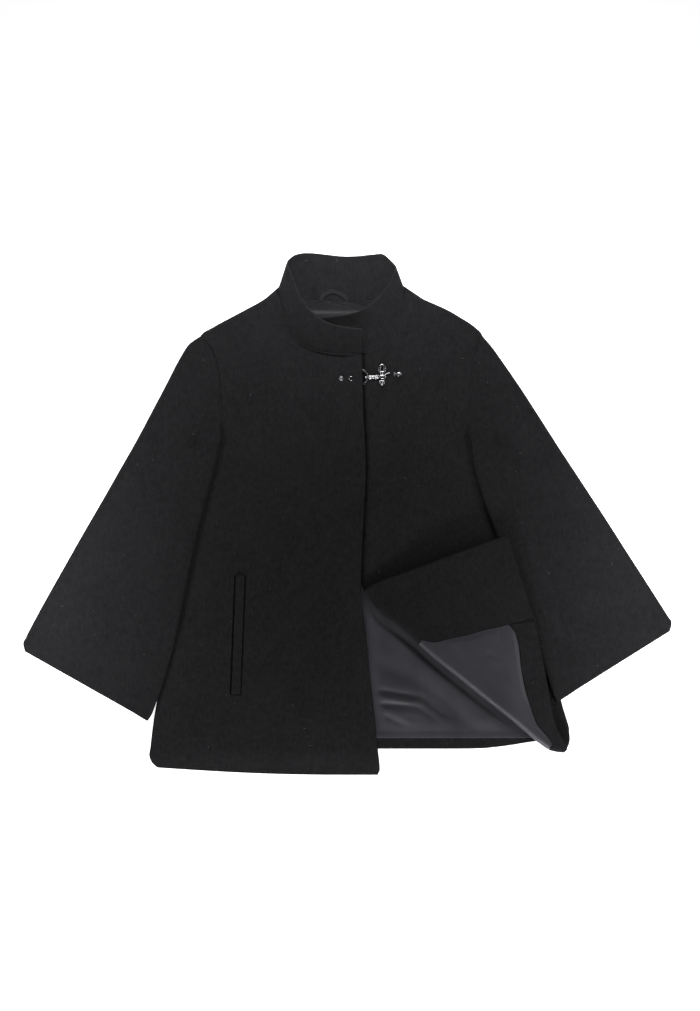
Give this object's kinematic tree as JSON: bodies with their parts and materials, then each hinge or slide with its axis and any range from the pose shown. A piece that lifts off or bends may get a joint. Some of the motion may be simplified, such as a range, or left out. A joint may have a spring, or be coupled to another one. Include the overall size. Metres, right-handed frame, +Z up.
{
  "type": "wool cape jacket",
  "caption": "Black wool cape jacket with stand collar and bell sleeves, laid flat, one front corner turned back to show its lining.",
  "frame": {"origin": "middle of the footprint, on the surface the garment lies on", "axes": "+Z up out of the surface and the front of the garment, +Y towards the collar, +X towards the wearer's left sleeve"},
  "size_m": [0.9198, 0.741, 0.0263],
  "materials": {
    "wool": "black wool coating, short brushed nap",
    "satin": "dark grey satin lining",
    "clasp_metal": "polished dark nickel"
  },
  "bodies": {
    "root": {"back_panel": "wool", "back_hem_band": "wool", "back_lining": "satin", "right_front": "wool", "right_pocket_welt": "wool", "left_front": "wool", "left_facing": "wool", "left_flap_lining": "satin", "left_hem_band": "wool", "right_sleeve_back": "wool", "right_sleeve_front": "wool", "left_sleeve_back": "wool", "left_sleeve_front": "wool", "collar": "wool", "hanger_loop": "satin", "clasp_stud_1": "clasp_metal", "clasp_stud_2": "clasp_metal", "clasp_ring": "clasp_metal", "clasp_hook": "clasp_metal", "clasp_wing_upper": "clasp_metal", "clasp_wing_lower": "clasp_metal", "clasp_cap": "clasp_metal"}
  },
  "joints": []
}
